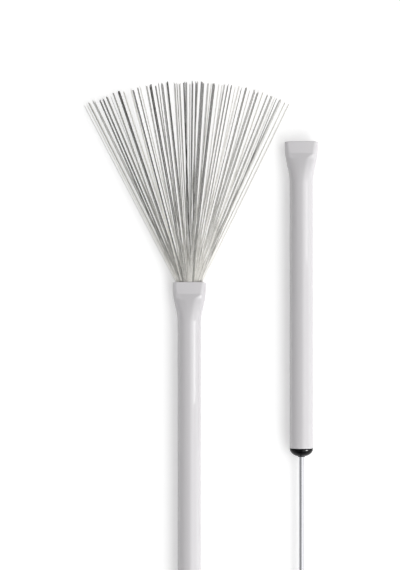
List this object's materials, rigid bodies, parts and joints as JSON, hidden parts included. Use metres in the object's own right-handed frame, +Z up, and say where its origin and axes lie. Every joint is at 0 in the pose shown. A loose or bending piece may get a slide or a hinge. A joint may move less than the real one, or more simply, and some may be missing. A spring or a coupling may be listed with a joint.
{
  "type": "wire drum brushes",
  "caption": "Retractable wire drum brushes with flattened tubular handles, sliding pull rods and flat fans of wire, lying open and drawn closed.",
  "frame": {"origin": "centre of the pair's bounding box, on the surface that the handles lie on", "axes": "+X across the pair towards the closed brush, +Y along the handles towards the wires, +Z up"},
  "size_m": [0.1498, 0.3926, 0.0152],
  "materials": {
    "handle_white": "satin moulded white plastic",
    "cap_black": "glossy black moulding",
    "rod_steel": "bright drawn steel, nickel plated",
    "wire_steel": "bright spring wire",
    "ferrule_brass": "plain crimped sleeve",
    "root_solder": "wire roots soldered into one plug",
    "pin_steel": "plain pin",
    "bushing_nylon": "plain moulding",
    "ring_rubber": "dark rubber"
  },
  "bodies": {
    "open_handle": {"open_handle_tube": "handle_white", "open_end_cap": "cap_black"},
    "open_slider": {"open_pull_rod": "rod_steel", "open_ferrule": "ferrule_brass", "open_wire_root_plug": "root_solder", "open_cross_pin": "pin_steel", "open_guide_bushing": "bushing_nylon", "open_friction_rings": "ring_rubber"},
    "open_wires_01": {"open_wire_group_01": "wire_steel"},
    "open_wires_02": {"open_wire_group_02": "wire_steel"},
    "open_wires_03": {"open_wire_group_03": "wire_steel"},
    "open_wires_04": {"open_wire_group_04": "wire_steel"},
    "open_wires_05": {"open_wire_group_05": "wire_steel"},
    "open_wires_06": {"open_wire_group_06": "wire_steel"},
    "open_wires_07": {"open_wire_group_07": "wire_steel"},
    "open_wires_08": {"open_wire_group_08": "wire_steel"},
    "open_wires_09": {"open_wire_group_09": "wire_steel"},
    "open_wires_10": {"open_wire_group_10": "wire_steel"},
    "open_wires_11": {"open_wire_group_11": "wire_steel"},
    "open_wires_12": {"open_wire_group_12": "wire_steel"},
    "open_wires_13": {"open_wire_group_13": "wire_steel"},
    "open_wires_14": {"open_wire_group_14": "wire_steel"},
    "open_wires_15": {"open_wire_group_15": "wire_steel"},
    "closed_handle": {"closed_handle_tube": "handle_white", "closed_end_cap": "cap_black"},
    "closed_slider": {"closed_pull_rod": "rod_steel", "closed_ferrule": "ferrule_brass", "closed_wire_root_plug": "root_solder", "closed_cross_pin": "pin_steel", "closed_guide_bushing": "bushing_nylon", "closed_friction_rings": "ring_rubber"},
    "closed_wires_01": {"closed_wire_group_01": "wire_steel"},
    "closed_wires_02": {"closed_wire_group_02": "wire_steel"},
    "closed_wires_03": {"closed_wire_group_03": "wire_steel"},
    "closed_wires_04": {"closed_wire_group_04": "wire_steel"},
    "closed_wires_05": {"closed_wire_group_05": "wire_steel"},
    "closed_wires_06": {"closed_wire_group_06": "wire_steel"},
    "closed_wires_07": {"closed_wire_group_07": "wire_steel"},
    "closed_wires_08": {"closed_wire_group_08": "wire_steel"},
    "closed_wires_09": {"closed_wire_group_09": "wire_steel"},
    "closed_wires_10": {"closed_wire_group_10": "wire_steel"},
    "closed_wires_11": {"closed_wire_group_11": "wire_steel"},
    "closed_wires_12": {"closed_wire_group_12": "wire_steel"},
    "closed_wires_13": {"closed_wire_group_13": "wire_steel"},
    "closed_wires_14": {"closed_wire_group_14": "wire_steel"},
    "closed_wires_15": {"closed_wire_group_15": "wire_steel"}
  },
  "joints": [
    {"name": "pair_spread", "type": "slide", "parent": "open_handle", "child": "closed_handle", "axis": [1, 0, 0], "range_m": [0, 0.04]},
    {"name": "open_rod_slide", "type": "slide", "parent": "open_handle", "child": "open_slider", "axis": [0, 1, 0], "range_m": [-0.13328, 0]},
    {"name": "closed_rod_slide", "type": "slide", "parent": "closed_handle", "child": "closed_slider", "axis": [0, 1, 0], "range_m": [0, 0.13328]},
    {"name": "open_wires_01_bend", "type": "hinge", "parent": "open_slider", "child": "open_wires_01", "pos_m": [-0.00755, 0.05425, 0.0076], "axis": [0, 0, 1], "range_deg": [-26.51, 0.01], "deforming": ["open_wire_group_01"]},
    {"name": "open_wires_02_bend", "type": "hinge", "parent": "open_slider", "child": "open_wires_02", "pos_m": [-0.00755, 0.05425, 0.0076], "axis": [0, 0, 1], "range_deg": [-22.54, 0.01], "deforming": ["open_wire_group_02"]},
    {"name": "open_wires_03_bend", "type": "hinge", "parent": "open_slider", "child": "open_wires_03", "pos_m": [-0.00755, 0.05425, 0.0076], "axis": [0, 0, 1], "range_deg": [-18.56, 0.01], "deforming": ["open_wire_group_03"]},
    {"name": "open_wires_04_bend", "type": "hinge", "parent": "open_slider", "child": "open_wires_04", "pos_m": [-0.00755, 0.05425, 0.0076], "axis": [0, 0, 1], "range_deg": [-14.32, 0.01], "deforming": ["open_wire_group_04"]},
    {"name": "open_wires_05_bend", "type": "hinge", "parent": "open_slider", "child": "open_wires_05", "pos_m": [-0.00755, 0.05425, 0.0076], "axis": [0, 0, 1], "range_deg": [-10.08, 0.01], "deforming": ["open_wire_group_05"]},
    {"name": "open_wires_06_bend", "type": "hinge", "parent": "open_slider", "child": "open_wires_06", "pos_m": [-0.00755, 0.05425, 0.0076], "axis": [0, 0, 1], "range_deg": [-6.63, 0.01], "deforming": ["open_wire_group_06"]},
    {"name": "open_wires_07_bend", "type": "hinge", "parent": "open_slider", "child": "open_wires_07", "pos_m": [-0.00755, 0.05425, 0.0076], "axis": [0, 0, 1], "range_deg": [-2.66, 0.01], "deforming": ["open_wire_group_07"]},
    {"name": "open_wires_08_bend", "type": "hinge", "parent": "open_slider", "child": "open_wires_08", "pos_m": [-0.00755, 0.05425, 0.0076], "axis": [0, 0, 1], "range_deg": [-0.01, 0.54], "deforming": ["open_wire_group_08"]},
    {"name": "open_wires_09_bend", "type": "hinge", "parent": "open_slider", "child": "open_wires_09", "pos_m": [-0.00755, 0.05425, 0.0076], "axis": [0, 0, 1], "range_deg": [-0.01, 3.46], "deforming": ["open_wire_group_09"]},
    {"name": "open_wires_10_bend", "type": "hinge", "parent": "open_slider", "child": "open_wires_10", "pos_m": [-0.00755, 0.05425, 0.0076], "axis": [0, 0, 1], "range_deg": [-0.01, 6.9], "deforming": ["open_wire_group_10"]},
    {"name": "open_wires_11_bend", "type": "hinge", "parent": "open_slider", "child": "open_wires_11", "pos_m": [-0.00755, 0.05425, 0.0076], "axis": [0, 0, 1], "range_deg": [-0.01, 10.61], "deforming": ["open_wire_group_11"]},
    {"name": "open_wires_12_bend", "type": "hinge", "parent": "open_slider", "child": "open_wires_12", "pos_m": [-0.00755, 0.05425, 0.0076], "axis": [0, 0, 1], "range_deg": [-0.01, 14.32], "deforming": ["open_wire_group_12"]},
    {"name": "open_wires_13_bend", "type": "hinge", "parent": "open_slider", "child": "open_wires_13", "pos_m": [-0.00755, 0.05425, 0.0076], "axis": [0, 0, 1], "range_deg": [-0.01, 18.03], "deforming": ["open_wire_group_13"]},
    {"name": "open_wires_14_bend", "type": "hinge", "parent": "open_slider", "child": "open_wires_14", "pos_m": [-0.00755, 0.05425, 0.0076], "axis": [0, 0, 1], "range_deg": [-0.01, 21.74], "deforming": ["open_wire_group_14"]},
    {"name": "open_wires_15_bend", "type": "hinge", "parent": "open_slider", "child": "open_wires_15", "pos_m": [-0.00755, 0.05425, 0.0076], "axis": [0, 0, 1], "range_deg": [-0.01, 25.18], "deforming": ["open_wire_group_15"]},
    {"name": "closed_wires_01_bend", "type": "hinge", "parent": "closed_slider", "child": "closed_wires_01", "pos_m": [0.06415, 0.01087, 0.0076], "axis": [0, 0, 1], "range_deg": [-0.01, 26.51], "deforming": ["closed_wire_group_01"]},
    {"name": "closed_wires_02_bend", "type": "hinge", "parent": "closed_slider", "child": "closed_wires_02", "pos_m": [0.06415, 0.01087, 0.0076], "axis": [0, 0, 1], "range_deg": [-0.01, 22.54], "deforming": ["closed_wire_group_02"]},
    {"name": "closed_wires_03_bend", "type": "hinge", "parent": "closed_slider", "child": "closed_wires_03", "pos_m": [0.06415, 0.01087, 0.0076], "axis": [0, 0, 1], "range_deg": [-0.01, 18.56], "deforming": ["closed_wire_group_03"]},
    {"name": "closed_wires_04_bend", "type": "hinge", "parent": "closed_slider", "child": "closed_wires_04", "pos_m": [0.06415, 0.01087, 0.0076], "axis": [0, 0, 1], "range_deg": [-0.01, 14.32], "deforming": ["closed_wire_group_04"]},
    {"name": "closed_wires_05_bend", "type": "hinge", "parent": "closed_slider", "child": "closed_wires_05", "pos_m": [0.06415, 0.01087, 0.0076], "axis": [0, 0, 1], "range_deg": [-0.01, 10.08], "deforming": ["closed_wire_group_05"]},
    {"name": "closed_wires_06_bend", "type": "hinge", "parent": "closed_slider", "child": "closed_wires_06", "pos_m": [0.06415, 0.01087, 0.0076], "axis": [0, 0, 1], "range_deg": [-0.01, 6.63], "deforming": ["closed_wire_group_06"]},
    {"name": "closed_wires_07_bend", "type": "hinge", "parent": "closed_slider", "child": "closed_wires_07", "pos_m": [0.06415, 0.01087, 0.0076], "axis": [0, 0, 1], "range_deg": [-0.01, 2.66], "deforming": ["closed_wire_group_07"]},
    {"name": "closed_wires_08_bend", "type": "hinge", "parent": "closed_slider", "child": "closed_wires_08", "pos_m": [0.06415, 0.01087, 0.0076], "axis": [0, 0, 1], "range_deg": [-0.54, 0.01], "deforming": ["closed_wire_group_08"]},
    {"name": "closed_wires_09_bend", "type": "hinge", "parent": "closed_slider", "child": "closed_wires_09", "pos_m": [0.06415, 0.01087, 0.0076], "axis": [0, 0, 1], "range_deg": [-3.46, 0.01], "deforming": ["closed_wire_group_09"]},
    {"name": "closed_wires_10_bend", "type": "hinge", "parent": "closed_slider", "child": "closed_wires_10", "pos_m": [0.06415, 0.01087, 0.0076], "axis": [0, 0, 1], "range_deg": [-6.9, 0.01], "deforming": ["closed_wire_group_10"]},
    {"name": "closed_wires_11_bend", "type": "hinge", "parent": "closed_slider", "child": "closed_wires_11", "pos_m": [0.06415, 0.01087, 0.0076], "axis": [0, 0, 1], "range_deg": [-10.61, 0.01], "deforming": ["closed_wire_group_11"]},
    {"name": "closed_wires_12_bend", "type": "hinge", "parent": "closed_slider", "child": "closed_wires_12", "pos_m": [0.06415, 0.01087, 0.0076], "axis": [0, 0, 1], "range_deg": [-14.32, 0.01], "deforming": ["closed_wire_group_12"]},
    {"name": "closed_wires_13_bend", "type": "hinge", "parent": "closed_slider", "child": "closed_wires_13", "pos_m": [0.06415, 0.01087, 0.0076], "axis": [0, 0, 1], "range_deg": [-18.03, 0.01], "deforming": ["closed_wire_group_13"]},
    {"name": "closed_wires_14_bend", "type": "hinge", "parent": "closed_slider", "child": "closed_wires_14", "pos_m": [0.06415, 0.01087, 0.0076], "axis": [0, 0, 1], "range_deg": [-21.74, 0.01], "deforming": ["closed_wire_group_14"]},
    {"name": "closed_wires_15_bend", "type": "hinge", "parent": "closed_slider", "child": "closed_wires_15", "pos_m": [0.06415, 0.01087, 0.0076], "axis": [0, 0, 1], "range_deg": [-25.18, 0.01], "deforming": ["closed_wire_group_15"]}
  ],
  "couplings": [
    {"joint": "open_wires_01_bend", "follows": "open_rod_slide", "rad_per_m": 3.4702},
    {"joint": "open_wires_02_bend", "follows": "open_rod_slide", "rad_per_m": 2.9496},
    {"joint": "open_wires_03_bend", "follows": "open_rod_slide", "rad_per_m": 2.4291},
    {"joint": "open_wires_04_bend", "follows": "open_rod_slide", "rad_per_m": 1.8739},
    {"joint": "open_wires_05_bend", "follows": "open_rod_slide", "rad_per_m": 1.3187},
    {"joint": "open_wires_06_bend", "follows": "open_rod_slide", "rad_per_m": 0.86754},
    {"joint": "open_wires_07_bend", "follows": "open_rod_slide", "rad_per_m": 0.34702},
    {"joint": "open_wires_08_bend", "follows": "open_rod_slide", "rad_per_m": -0.069403},
    {"joint": "open_wires_09_bend", "follows": "open_rod_slide", "rad_per_m": -0.45112},
    {"joint": "open_wires_10_bend", "follows": "open_rod_slide", "rad_per_m": -0.90224},
    {"joint": "open_wires_11_bend", "follows": "open_rod_slide", "rad_per_m": -1.3881},
    {"joint": "open_wires_12_bend", "follows": "open_rod_slide", "rad_per_m": -1.8739},
    {"joint": "open_wires_13_bend", "follows": "open_rod_slide", "rad_per_m": -2.3597},
    {"joint": "open_wires_14_bend", "follows": "open_rod_slide", "rad_per_m": -2.8455},
    {"joint": "open_wires_15_bend", "follows": "open_rod_slide", "rad_per_m": -3.2966},
    {"joint": "closed_wires_01_bend", "follows": "closed_rod_slide", "rad_per_m": 3.4702},
    {"joint": "closed_wires_02_bend", "follows": "closed_rod_slide", "rad_per_m": 2.9496},
    {"joint": "closed_wires_03_bend", "follows": "closed_rod_slide", "rad_per_m": 2.4291},
    {"joint": "closed_wires_04_bend", "follows": "closed_rod_slide", "rad_per_m": 1.8739},
    {"joint": "closed_wires_05_bend", "follows": "closed_rod_slide", "rad_per_m": 1.3187},
    {"joint": "closed_wires_06_bend", "follows": "closed_rod_slide", "rad_per_m": 0.86754},
    {"joint": "closed_wires_07_bend", "follows": "closed_rod_slide", "rad_per_m": 0.34702},
    {"joint": "closed_wires_08_bend", "follows": "closed_rod_slide", "rad_per_m": -0.069403},
    {"joint": "closed_wires_09_bend", "follows": "closed_rod_slide", "rad_per_m": -0.45112},
    {"joint": "closed_wires_10_bend", "follows": "closed_rod_slide", "rad_per_m": -0.90224},
    {"joint": "closed_wires_11_bend", "follows": "closed_rod_slide", "rad_per_m": -1.3881},
    {"joint": "closed_wires_12_bend", "follows": "closed_rod_slide", "rad_per_m": -1.8739},
    {"joint": "closed_wires_13_bend", "follows": "closed_rod_slide", "rad_per_m": -2.3597},
    {"joint": "closed_wires_14_bend", "follows": "closed_rod_slide", "rad_per_m": -2.8455},
    {"joint": "closed_wires_15_bend", "follows": "closed_rod_slide", "rad_per_m": -3.2966}
  ]
}
